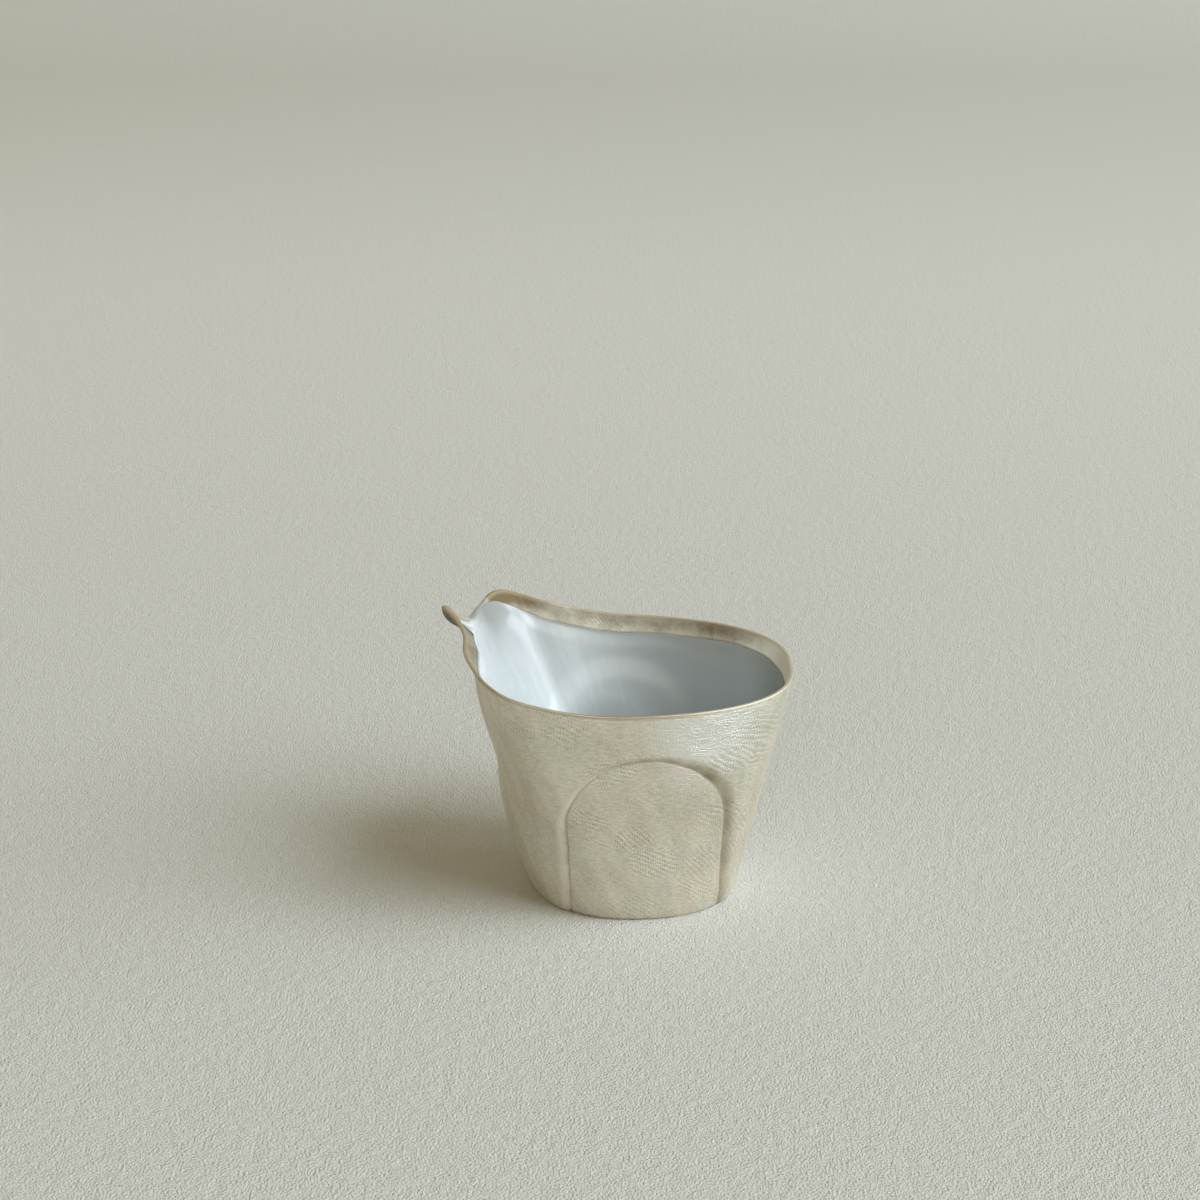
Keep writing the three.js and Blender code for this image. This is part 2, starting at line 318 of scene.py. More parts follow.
def mouth_outline(angle):
    radius = squared_oval(angle, MOUTH_TAIL + MOUTH_WIDEST_AT, MOUTH_FRONT - MOUTH_WIDEST_AT,
                          MOUTH_HALF_WIDTH, MOUTH_SQUARENESS_TAIL, MOUTH_SQUARENESS_FRONT)
    return radius * np.cos(angle) - MOUTH_WIDEST_AT, radius * np.sin(angle)


def beak_share(angle):
    rounded = np.hypot(angle - math.pi, BEAK_ROUNDING) - BEAK_ROUNDING
    return np.exp(-rounded / BEAK_SPREAD)


def rim_height(angle):
    beak = beak_share(angle)
    x = mouth_outline(angle)[0] + BEAK_REACH * beak * np.cos(angle)
    climb = (np.maximum(-x, 0) / MOUTH_FRONT) ** RIM_RISE_POWER
    along = (angle - LIP_WAVE_AT) / LIP_WAVE_SPREAD
    across = (angle - math.pi) / BEAK_SPREAD
    twist = BEAK_TWIST * across * hump(across, 0, 1)
    return RIM_HEIGHT + RIM_RISE * climb + BEAK_LIFT * beak + twist - LIP_WAVE * along * hump(along, 0, 1)


def beak_spring(angle, drop):
    """How far the beak has sprung out of the wall at a drop below the rim."""
    share = beak_share(angle)
    depth = blend(BEAK_SIDE_DROP, BEAK_DROP, share ** BEAK_DROP_POWER)
    return share * (1 - np.clip(drop / depth, 0, 1) ** 3)


def hand_push(angle, z, top):
    """How far the wall is pushed out by its swells, or in by its hollows."""
    share = z / top
    drop = top - z
    belly = BELLY_DEPTH * hump(angle, math.pi, BELLY_WIDTH) * 4 * share * (1 - share)
    throat = THROAT_DEPTH * hump(angle, math.pi, THROAT_WIDTH) * hump(drop, THROAT_DROP, THROAT_SPREAD)
    flared = np.clip(1 - drop / LIP_FLARE_DROP, 0, 1) ** 2
    flare = LIP_FLARE * hump(angle, LIP_FLARE_AT, LIP_FLARE_SPREAD) * flared
    sunk = hump(drop, LIP_HOLLOW_DROP, LIP_HOLLOW_SPREAD)
    hollow = LIP_HOLLOW * hump(angle, LIP_HOLLOW_AT, LIP_HOLLOW_WIDTH) * sunk
    dent = RIM_DENT * hump(angle, RIM_DENT_AT, RIM_DENT_SPREAD) * share ** 2
    tuck = FOOT_TUCK * np.clip(1 - z / FOOT_TUCK_HEIGHT, 0, 1) ** 2
    return belly - throat + flare - hollow - dent - tuck


def raised_wall(angle, z, beak_reach):
    """Outer face of the raised wall before the grips are pressed."""
    top = rim_height(angle)
    push = hand_push(angle, z, top) + beak_reach * beak_spring(angle, top - z)
    foot_x, foot_y = foot_outline(angle)
    mouth_x, mouth_y = mouth_outline(angle)
    x = blend(foot_x, mouth_x, z / top) + push * np.cos(angle)
    y = blend(foot_y, mouth_y, z / top) + push * np.sin(angle)
    return np.stack([x, y, z], axis=-1)


def level_outward(angle, z):
    """Level direction out of the wall, lengthened so that a step along it is a true thickness."""
    step = 1e-4
    around = raised_wall(angle + step, z, 0) - raised_wall(angle - step, z, 0)
    up = raised_wall(angle, z + step, 0) - raised_wall(angle, z - step, 0)
    normal = np.cross(around, up)
    normal /= np.linalg.norm(normal, axis=-1, keepdims=True)
    normal[..., 2] = 0
    return normal / np.sum(normal * normal, axis=-1, keepdims=True)


def grip_places(place, grow):
    """Distance outside a grip's arch seen square on, below 0 on the panel,
    and the turn about its spring."""
    x, y, z = place[..., 0], place[..., 1], place[..., 2]
    beside = x - np.where(y < 0, NEAR_GRIP_X, FAR_GRIP_X)
    above = np.maximum(z - GRIP_SPRING_HEIGHT, 0)
    climbed = np.clip(z / GRIP_SPRING_HEIGHT, 0, 1)
    half = blend(GRIP_FOOT_HALF_WIDTH, GRIP_HALF_WIDTH, climbed) + grow
    waves = np.sin(0.37 * z + 0.11 * beside) + np.sin(0.81 * z - 0.29 * beside)
    wander = CREASE_WANDER * waves / 2
    return np.hypot(beside, above) - half + wander, np.arctan2(above, beside)


def flank_width(turn):
    """Width of the pressed flank outside the arch, widest on the shoulder towards the tail."""
    return FLANK_SIDE + FLANK_SHOULDER * hump(turn, FLANK_SHOULDER_AT, FLANK_SHOULDER_SPREAD)


def formed_wall(angle, z, inset):
    """Point of the finished wall, a given depth inside its outer face."""
    outside, turn = grip_places(raised_wall(angle, z, 0), inset)
    deep = blend(GRIP_FOOT_DEPTH, GRIP_DEPTH, smooth(z / GRIP_SPRING_HEIGHT))
    pressed_outside = np.clip(1 - outside / flank_width(turn), 0, 1) ** 2
    pressed_inside = smooth((FLANK_INSIDE_START - outside) / FLANK_INSIDE)
    press = deep * blend(pressed_outside, pressed_inside, np.clip(inset / SHEET, 0, 1))
    crease = CREASE_DEPTH * hump(outside, 0, CREASE_WIDTH)
    below = np.clip(1 - z / FOOT_ROUNDING, 0, 1)
    rounding = FOOT_ROUNDING * (1 - np.sqrt(1 - below ** 2))
    sunk = press + (crease + rounding) * (inset < SHEET / 2)
    place = raised_wall(angle, z, BEAK_REACH - inset)
    return place - level_outward(angle, z) * (inset + sunk)[..., None]


def hammered(places, depth, width):
    """Soft dents of a hammer: how far each place is raised or sunk."""
    return np.array([depth * noise.noise(Vector(place) / width) for place in places])


def turned_blank(profile, steps):
    """Profile of radius and station, spun once round the upright axis."""
    blank = bmesh.new()
    line = [blank.verts.new((radius, 0, station)) for radius, station in profile]
    closed = profile[0][0] > 0
    pairs = list(zip(line, line[1:] + line[:1]))
    edges = [blank.edges.new(pair) for pair in (pairs if closed else pairs[:-1])]
    bmesh.ops.spin(blank, geom=line + edges, cent=(0, 0, 0), axis=(0, 0, 1),
                   angle=CYCLE, steps=steps, use_merge=True, use_duplicate=False)
    bmesh.ops.remove_doubles(blank, verts=blank.verts, dist=1e-6)
    bmesh.ops.recalc_face_normals(blank, faces=blank.faces)
    return blank


def places_of(mesh):
    return np.array([vert.co[:] for vert in mesh.verts])


def radii_of(places):
    return np.round(np.hypot(places[:, 0], places[:, 1]), 3)


def column_angle(places):
    """Angle of a blank's points, with the columns crowded towards the beak."""
    side = 2 * (np.arctan2(places[:, 1], places[:, 0]) % CYCLE) / CYCLE - 1
    return math.pi * (1 + np.sign(side) * np.abs(side) ** COLUMN_CROWDING)


def place_points(mesh, places):
    for vert, place in zip(mesh.verts, places):
        vert.co = Vector(place) * MM
    bmesh.ops.recalc_face_normals(mesh, faces=mesh.faces)


def keep_values(mesh, name, values):
    """Value of its own for each point, for the materials."""
    layer = mesh.verts.layers.float.new(name)
    for vert, value in zip(mesh.verts, values):
        vert[layer] = value


GIRTH_ANGLES = np.linspace(0, CYCLE, 721)
GIRTH_LINE = raised_wall(GIRTH_ANGLES, np.full(721, RIM_HEIGHT / 2), 0)
GIRTH_STEPS = np.linalg.norm(np.diff(GIRTH_LINE, axis=0), axis=1)
GIRTH_WAY = np.concatenate([[0], np.cumsum(GIRTH_STEPS)])


def unroll(mesh, angle, z):
    """Map of the surface unrolled flat, in decimetres, with its seam at the tail."""
    way = np.interp(angle, GIRTH_ANGLES, GIRTH_WAY)
    layer = mesh.loops.layers.uv.new("unrolled")
    mesh.verts.index_update()
    for face in mesh.faces:
        across = [way[loop.vert.index] for loop in face.loops]
        wraps = max(across) - min(across) > GIRTH_WAY[-1] / 2
        for loop, u in zip(face.loops, across):
            if wraps and u < GIRTH_WAY[-1] / 2:
                u += GIRTH_WAY[-1]
            loop[layer].uv = (u / 100, z[loop.vert.index] / 100)


def finish_piece(mesh, name, node, material):
    """Object at the origin with its place in its mesh, riding on the pitcher
    and standing for a CAD node."""
    data = bpy.data.meshes.new(name)
    mesh.to_mesh(data)
    mesh.free()
    for face in data.polygons:
        face.use_smooth = True
    piece = bpy.data.objects.new(name, data)
    bpy.context.scene.collection.objects.link(piece)
    data.materials.append(material)
    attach(piece, "root")
    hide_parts(node)
    return piece


def put(tree, kind, inputs=None, **settings):
    """Node with its settings, its constants and the links into it."""
    node = tree.nodes.new(kind)
    for name, value in settings.items():
        setattr(node, name, value)
    for socket, value in (inputs or {}).items():
        if isinstance(value, bpy.types.NodeSocket):
            tree.links.new(value, node.inputs[socket])
        else:
            node.inputs[socket].default_value = value
    return node


def figure(tree, operation, first, second=0.0, third=0.0):
    return put(tree, "ShaderNodeMath", {0: first, 1: second, 2: third}, operation=operation).outputs[0]


def spread_out(tree, value, low, high, to_low=0.0, to_high=1.0):
    """Value eased from one range into another."""
    inputs = {"Value": value, "From Min": low, "From Max": high, "To Min": to_low, "To Max": to_high}
    return put(tree, "ShaderNodeMapRange", inputs, interpolation_type="SMOOTHSTEP").outputs[0]


def tinted(tree, share, first, second):
    """Mix of two colours."""
    mix = put(tree, "ShaderNodeMix", {0: share, 6: first, 7: second}, data_type="RGBA")
    return mix.outputs[2]


def stretched(tree, place, scale):
    return put(tree, "ShaderNodeVectorMath", {0: place, 1: scale}, operation="MULTIPLY").outputs[0]


def cloud(tree, place, scale, detail=2.0, rough=0.5):
    inputs = {"Vector": place, "Scale": scale, "Detail": detail, "Roughness": rough}
    return put(tree, "ShaderNodeTexNoise", inputs).outputs["Fac"]


def own_value(tree, name):
    return put(tree, "ShaderNodeAttribute", attribute_name=name).outputs["Fac"]


def unrolled_place(tree):
    """Place on the unrolled surface, in millimetres."""
    flat = put(tree, "ShaderNodeUVMap", uv_map="unrolled").outputs[0]
    return stretched(tree, flat, (100, 100, 100))


def new_group(name, outputs):
    group = bpy.data.node_groups.new(name, "ShaderNodeTree")
    group.interface.new_socket(name="Place", in_out="INPUT", socket_type="NodeSocketVector")
    for output, kind in outputs:
        group.interface.new_socket(name=output, in_out="OUTPUT", socket_type=kind)
    return group, group.nodes.new("NodeGroupInput").outputs[0], group.nodes.new("NodeGroupOutput")


def chased_marks_group():
    """Rows of short slanting chisel marks, stronger in some patches,
    fine lines of the planishing and small pits."""
    outputs = [("Height", "NodeSocketFloat"), ("Sunk", "NodeSocketFloat")]
    group, place, out = new_group("chased_marks", outputs)
    wander = put(group, "ShaderNodeTexNoise", {"Vector": place, "Scale": 0.13, "Detail": 2.0})
    wandering = put(group, "ShaderNodeVectorMath", {0: wander.outputs["Color"], 1: (3, 3, 0), 2: place},
                    operation="MULTIPLY_ADD").outputs[0]
    patch_place = stretched(group, wandering, (0.08, 0.13, 1))
    patches = put(group, "ShaderNodeTexVoronoi", {"Vector": patch_place, "Scale": 1.0})
    chance = put(group, "ShaderNodeSeparateColor", {0: patches.outputs["Color"]})
    lean = figure(group, "MULTIPLY_ADD", chance.outputs[0], 0.8, 0.05)
    turned = put(group, "ShaderNodeVectorRotate", {"Vector": wandering, "Angle": lean},
                 rotation_type="Z_AXIS").outputs[0]
    ways = put(group, "ShaderNodeSeparateXYZ", {0: turned})
    stripe = figure(group, "SINE", figure(group, "MULTIPLY", ways.outputs[0], 8.4))
    slant = figure(group, "MULTIPLY", ways.outputs[1], 3.8)
    row = figure(group, "SINE", figure(group, "MULTIPLY_ADD", ways.outputs[0], 1.1, slant))
    cut = spread_out(group, stripe, -0.2, 0.9)
    dash = figure(group, "MULTIPLY", cut, spread_out(group, row, -0.5, 0.5))
    within = spread_out(group, patches.outputs["Distance"], 0.4, 0.85, 1.0, 0.0)
    force = spread_out(group, chance.outputs[1], 0.1, 0.75, 0.12, 1.0)
    struck = figure(group, "MULTIPLY", within, force)
    chased = figure(group, "MULTIPLY", dash, struck)
    lines = cloud(group, stretched(group, wandering, (0.2, 2.6, 1)), 1.0, 2.0, 0.6)
    pits = cloud(group, place, 1.7, 3.0, 0.65)
    height = figure(group, "MULTIPLY_ADD", lines, 0.62, figure(group, "MULTIPLY", chased, -0.75))
    height = figure(group, "MULTIPLY_ADD", pits, 0.58, height)
    group.links.new(height, out.inputs["Height"])
    group.links.new(chased, out.inputs["Sunk"])
    return group


def handled_tints_group():
    """Warm and grey-green tints that handling and heat leave on the metal."""
    outputs = [("Colour", "NodeSocketColor"), ("Dull", "NodeSocketFloat")]
    group, place, out = new_group("handled_tints", outputs)
    broad = spread_out(group, cloud(group, place, 0.07, 4.0, 0.6), 0.4, 0.6)
    fine = cloud(group, stretched(group, place, (0.35, 1, 1)), 1.7, 3.0, 0.65)
    metal = tinted(group, broad, WARM_METAL, GREY_METAL)
    clouds = cloud(group, stretched(group, place, (1.4, 0.6, 1)), 0.12, 3.0, 0.55)
    clouded = spread_out(group, clouds, 0.3, 0.7, 0.93, 1.05)
    speckle = figure(group, "MULTIPLY", clouded, spread_out(group, fine, 0.32, 0.66, 0.86, 1.07))
    metal = put(group, "ShaderNodeVectorMath", {0: metal, 3: speckle}, operation="SCALE").outputs[0]
    group.links.new(metal, out.inputs["Colour"])
    group.links.new(fine, out.inputs["Dull"])
    return group


chased_marks = chased_marks_group()
handled_tints = handled_tints_group()


def new_material(name):
    material = bpy.data.materials.new(name)
    material.use_nodes = True
    return material, material.node_tree, material.node_tree.nodes["Principled BSDF"]


def wall_material():
    """Hammered white metal outside, bronze-brown band inside the rim, brown patina in the crease; painted
    shade on the grip flanks, and painted highlights beside the crease, on the shoulder and along the
    rim's top.
    """
    material, tree, shader = new_material("hammered_white_metal")
    place = unrolled_place(tree)
    inside = own_value(tree, "inside")
    drop = own_value(tree, "below_rim")
    above_lining = own_value(tree, "above_lining")
    marks = put(tree, "ShaderNodeGroup", {"Place": place}, node_tree=chased_marks)
    tints = put(tree, "ShaderNodeGroup", {"Place": place}, node_tree=handled_tints)
    own_brown = own_value(tree, "brown")
    own_marks_and_highlight = own_value(tree, "struck")
    patchy = cloud(tree, stretched(tree, place, (1, 0.6, 1)), 0.11, 4.0, 0.65)
    upper = figure(tree, "MULTIPLY", own_brown, spread_out(tree, drop, 1.5, 5.5, 1.0, 0.6))
    brown = spread_out(tree, figure(tree, "ADD", patchy, upper), 0.55, 1.35)
    bronze = tinted(tree, brown, BARE_BRONZE, BROWN_BRONZE)
    stain_line = spread_out(tree, above_lining, 0.0, 0.8, 0.5, 0.0)
    bronze = tinted(tree, stain_line, bronze, LINING_STAIN)
    # painted highlight: the metal is whitened on the shoulder, where the marks value rises above the
    # plain chisel strength
    shoulder_highlight = spread_out(tree, own_marks_and_highlight, 0.85, 1.8, 0.0, 0.9)
    grime_left = figure(tree, "MULTIPLY_ADD", shoulder_highlight, -0.1, 0.32)
    grimed = figure(tree, "MULTIPLY", marks.outputs["Sunk"], grime_left)
    colour = tinted(tree, shoulder_highlight, tints.outputs["Colour"], SHOULDER_HIGHLIGHT_WHITE)
    colour = tinted(tree, grimed, colour, GRIME)
    colour = tinted(tree, inside, colour, bronze)
    # brown patina in the crease, and painted shade on the grip flanks, darkest on the shoulder towards
    # the tail
    colour = tinted(tree, own_value(tree, "patina_and_shade"), colour, PATINA_AND_SHADE_BROWN)
    near_rim = spread_out(tree, drop, 0.2, 1.5, 0.85, 0.0)
    colour = tinted(tree, figure(tree, "MULTIPLY", near_rim, own_brown), colour, RIM_BROWN)
    # painted highlight: a light line along the rim's top edge wherever the band is not brown
    rim_highlight = figure(tree, "SUBTRACT", spread_out(tree, drop, 0.15, 0.5, 0.7, 0.0), own_brown)
    # painted highlights round the grips, joined with the painted highlight along the rim, mixed in as
    # lighter metal
    painted_highlight = figure(tree, "MAXIMUM", figure(tree, "MAXIMUM", rim_highlight, 0.0), own_value(tree, "painted_highlight"))
    colour = tinted(tree, painted_highlight, colour, HIGHLIGHT_METAL)
    # painted shade under the beak outside, and on the near lip inside
    colour = tinted(tree, own_value(tree, "shaded"), colour, BEAK_SHADE)
    colour = tinted(tree, own_value(tree, "tinned"), colour, TINNED_LIP)
    oxide = figure(tree, "MULTIPLY", brown, inside)
    satin = spread_out(tree, tints.outputs["Dull"], 0.3, 0.7, 0.48, 0.62)
    rough = figure(tree, "MULTIPLY_ADD", oxide, 0.25, satin)
    rough = figure(tree, "MULTIPLY_ADD", shoulder_highlight, -0.1, rough)
    tree.links.new(figure(tree, "MULTIPLY_ADD", oxide, -0.8, 1.0), shader.inputs["Metallic"])
    height = figure(tree, "MULTIPLY", marks.outputs["Height"], own_marks_and_highlight)
    across = put(tree, "ShaderNodeSeparateXYZ", {0: place}).outputs[0]
    score = figure(tree, "SINE", figure(tree, "MULTIPLY", across, 9.0))
    score = figure(tree, "MULTIPLY", score, own_value(tree, "scored"))
    height = figure(tree, "MULTIPLY_ADD", score, 0.3, height)
    bump = put(tree, "ShaderNodeBump", {"Height": height, "Distance": 0.0003, "Strength": 1.0})
    tree.links.new(colour, shader.inputs["Base Color"])
    tree.links.new(rough, shader.inputs["Roughness"])
    tree.links.new(bump.outputs[0], shader.inputs["Normal"])
    return material


def tin_material():
    """Wiped tin: bluish white, with streaks from the wiping, a few brighter pools, and painted shade on
    the tail side, far corner, panels, edge and floor.
    """
    material, tree, shader = new_material("wiped_tin")
    place = unrolled_place(tree)
    streaks = cloud(tree, stretched(tree, place, (0.55, 0.06, 1)), 1.0, 3.0, 0.6)
    pools = cloud(tree, place, 0.07, 2.0, 0.5)
    colour = tinted(tree, spread_out(tree, streaks, 0.3, 0.7), TIN_STREAK, TIN_WIPED)
    # painted shade darkens the tin on the tail side, far corner, panels, edge and floor
    colour = tinted(tree, own_value(tree, "painted_shade"), colour, TIN_SHADE)
    satin = spread_out(tree, pools, 0.35, 0.65, 0.46, 0.58)
    rough = figure(tree, "MULTIPLY_ADD", streaks, 0.10, satin)
    bump = put(tree, "ShaderNodeBump", {"Height": streaks, "Distance": 0.00003, "Strength": 0.4})
    shader.inputs["Metallic"].default_value = 0.45
    shader.inputs["Coat Roughness"].default_value = 0.16
    tree.links.new(spread_out(tree, pools, 0.35, 0.6, 0.15, 0.7), shader.inputs["Coat Weight"])
    tree.links.new(colour, shader.inputs["Base Color"])
    tree.links.new(rough, shader.inputs["Roughness"])
    tree.links.new(bump.outputs[0], shader.inputs["Normal"])
    return material


def underside_material(name, colour, patina_and_shade, roughness):
    """Plain rubbed metal of the parts under the pitcher."""
    material, tree, shader = new_material(name)
    place = stretched(tree, put(tree, "ShaderNodeTexCoord").outputs["Object"], (1000, 1000, 1000))
    rubs = cloud(tree, stretched(tree, place, (0.08, 1.4, 1)), 1.0, 3.0, 0.6)
    blotch = spread_out(tree, cloud(tree, place, 0.16, 3.0, 0.6), 0.4, 0.65)
    mixed = tinted(tree, blotch, colour, patina_and_shade)
    bump = put(tree, "ShaderNodeBump", {"Height": rubs, "Distance": 0.00005, "Strength": 0.6})
    shader.inputs["Metallic"].default_value = 1
    tree.links.new(mixed, shader.inputs["Base Color"])
    rough = spread_out(tree, rubs, 0.3, 0.7, roughness - 0.06, roughness + 0.08)
    tree.links.new(rough, shader.inputs["Roughness"])
    tree.links.new(bump.outputs[0], shader.inputs["Normal"])
    return material


white_metal = wall_material()
tin = tin_material()
plate_metal = underside_material("rubbed_plate", PLATE_METAL, PLATE_STAIN, 0.38)
solder_metal = underside_material("dull_solder", SOLDER_GREY, SOLDER_STAIN, 0.5)


def lining_drop(angle):
    """How far below the rim the lining's wandering edge lies."""
    degrees = np.degrees(angle)
    nearby = [along_table(degrees + shift, LINING_EDGE) for shift in np.linspace(-4, 4, 9)]
    ragged = 0.09 * np.sin(13 * angle) + 0.05 * np.sin(37 * angle + 1)
    return np.maximum(np.mean(nearby, axis=0) + ragged, 0.3)


def wall_profile():
    """Radius 2 for the outer face and 1 for the inner face, with the height on the blank."""
    nearly_top = 1 - RIM_ROUNDING / RIM_HEIGHT
    shoulder = 1 - RIM_ROUNDING / RIM_HEIGHT / 4
    foot_top = FOOT_ROUNDING / RIM_HEIGHT
    foot = [(2, foot_top * share) for share in (0, 0.05, 0.2, 0.5)]
    outer = [(2, row) for row in np.linspace(foot_top, nearly_top, WALL_ROWS)]
    rim = [(1.93, shoulder), (1.78, 1), (1.22, 1), (1.07, shoulder)]
    band = [(1, row) for row in np.linspace(nearly_top, BAND_START, BAND_ROWS)]
    deep = [(1, row) for row in np.linspace(BAND_START, 0, DEEP_ROWS)[1:]]
    return [(radius, BLANK_HEIGHT * row) for radius, row in foot + outer + rim + band + deep]


def refine_crease(blank):
    """Finer faces along the crease and the flank beside it, on the outer face alone."""
    places = places_of(blank)
    angle = column_angle(places)
    z = places[:, 2] / BLANK_HEIGHT * rim_height(angle)
    outside = grip_places(raised_wall(angle, z, 0), 0)[0]
    near = (np.abs(outside - FLANK_SIDE / 2) < CREASE_ZONE) & (radii_of(places) == 2)
    blank.verts.index_update()
    edges = [edge for edge in blank.edges if all(near[vert.index] for vert in edge.verts)]
    bmesh.ops.subdivide_edges(blank, edges=edges, cuts=2, use_grid_fill=True)


def keep_grip_shading_and_scores(blank, angle, z, outer, formed):
    """Brown patina in the crease with painted shade on the flank, painted highlights beside the crease,
    and score lines round the grips.
    """
    outside, turn = grip_places(raised_wall(angle, z, 0), 0)
    degrees = np.degrees(turn)
    on_flank = smooth(outside / FLANK_SHADE_EASE) * fading(outside / flank_width(turn), 0.1, 1)
    in_crease = CREASE_STAIN * hump(outside, 0, CREASE_STAIN_WIDTH)
    # painted shade on the flank, strongest on the shoulder and gone on the left side, joined with brown
    # patina in the crease
    patina_and_shade = np.maximum(on_flank * along_table(degrees, FLANK_SHADE), in_crease)
    uneven = PATINA_AND_SHADE_LEVEL + hammered(formed, PATINA_AND_SHADE_PATCHES, PATINA_AND_SHADE_PATCH_WIDTH)
    keep_values(blank, "patina_and_shade", outer * uneven * patina_and_shade)
    # painted highlights: a thin bright line on the panel side of the crease, and a bright strip on the
    # flank at the left
    highlight_place = along_table(degrees, HIGHLIGHT_PLACE)
    highlight_width = np.where(highlight_place > 0, HIGHLIGHT_WIDTH_ON_FLANK, HIGHLIGHT_WIDTH_ON_PANEL)
    highlighted = along_table(degrees, HIGHLIGHT_STRENGTH) * hump(outside, highlight_place, highlight_width)
    keep_values(blank, "painted_highlight", outer * highlighted)
    scored = np.zeros(len(z))
    for lines, beside in [(SCORE_LEFT, turn > 2), (SCORE_RIGHT, turn < 1)]:
        place, width, height, spread, strength = lines
        scored += strength * hump(outside, place, width) * hump(z, height, spread) * beside
    keep_values(blank, "scored", outer * scored)


def keep_lip_shade_and_colours(blank, angle, drop, outer, depth):
    """Painted shade under the beak and on the near lip, tin on the far lip, brown of the band."""
    clear, clear_ease, deep, deep_ease = UNDER_BEAK_DROPS
    under_beak = hump(angle, UNDER_BEAK_AT, UNDER_BEAK_SPREAD) * fading(drop, deep, deep_ease)
    under_beak *= smooth((drop - clear) / clear_ease)
    clear, clear_ease = NEAR_LIP_DROPS
    near_lip = rim_stretch(angle, *NEAR_LIP) * smooth((drop - clear) / clear_ease)
    keep_values(blank, "shaded", np.where(outer, under_beak, NEAR_LIP_SHADE * near_lip))
    far_lip = rim_stretch(angle, *FAR_LIP) * fading(drop, *FAR_LIP_DROPS)
    keep_values(blank, "tinned", far_lip * smooth((depth - 0.1) / 0.3))
    keep_values(blank, "inside", smooth((depth - 0.5) / 0.4))
    keep_values(blank, "below_rim", drop)
    keep_values(blank, "brown", along_table(np.degrees(angle), BAND_BROWN))
    keep_values(blank, "above_lining", lining_drop(angle) - drop)


def wall_shell():
    """Wall: up the outer face, over the rounded rim and down the inner face."""
    blank = turned_blank(wall_profile(), WALL_COLUMNS)
    refine_crease(blank)
    places = places_of(blank)
    angle = column_angle(places)
    top = rim_height(angle)
    z = places[:, 2] / BLANK_HEIGHT * top
    depth = 2 - radii_of(places)
    outer = depth < 0.5
    formed = formed_wall(angle, z, depth * SHEET)
    dents = hammered(formed, HAMMER_DEPTH, HAMMER_WIDTH)
    dents += hammered(formed, HAMMER_DEPTH / 3, HAMMER_WIDTH / 2.6)
    dents = (HAMMER_SETTLE * HAMMER_DEPTH + dents) * smooth(z / FOOT_TUCK_HEIGHT)
    formed -= level_outward(angle, z) * dents[:, None]
    keep_grip_shading_and_scores(blank, angle, z, outer, formed)
    keep_lip_shade_and_colours(blank, angle, top - z, outer, depth)
    # the shoulder strengthens the chisel marks and also paints a whiter highlight there
    shoulder = hump(angle, SHOULDER_AT, SHOULDER_SPREAD) * smooth((z - SHOULDER_START) / SHOULDER_RISE)
    struck = np.where(outer, STRUCK_OUTSIDE + shoulder, STRUCK_INSIDE)
    keep_values(blank, "struck", struck * smooth((top - z - CLEAN_RIM) / CLEAN_RIM_FADE))
    unroll(blank, angle, z)
    place_points(blank, formed)
    finish_piece(blank, "wall", "body_wall", white_metal)


def lining_profile():
    """Radius 1 for the back, 1.5 for the face, and the row up the wall."""
    fine_start = LINING_ROWS - LINING_FINE_ROWS
    back_rows = [*range(0, fine_start, LINING_COARSE_STEP), *range(fine_start, LINING_ROWS + 1)]
    face_rows = [LINING_ROWS, LINING_ROWS - LINING_EDGE_ROW, *range(LINING_ROWS - 1, -1, -1)]
    back = [(1, row) for row in back_rows]
    face = [(1.5, row) for row in face_rows]
    return [(0, 0)] + back + face + [(0, 1)]


def lining_shade_share(angle, z, below_edge, at_edge):
    """How much painted shade darkens the tin."""
    far_corner = hump(angle, FAR_CORNER_AT, FAR_CORNER_SPREAD) * fading(below_edge, 0, FAR_CORNER_DROP)
    outside = grip_places(raised_wall(angle, z, 0), 0)[0]
    panel = PANEL_SHADE * smooth((PANEL_SHADE_START - outside) / PANEL_SHADE_EASE)
    tail_side = TAIL_SHADE * smooth((np.cos(angle) + 0.05) / 0.9)
    return np.max([tail_side, far_corner, panel, EDGE_SHADE * at_edge], axis=0)


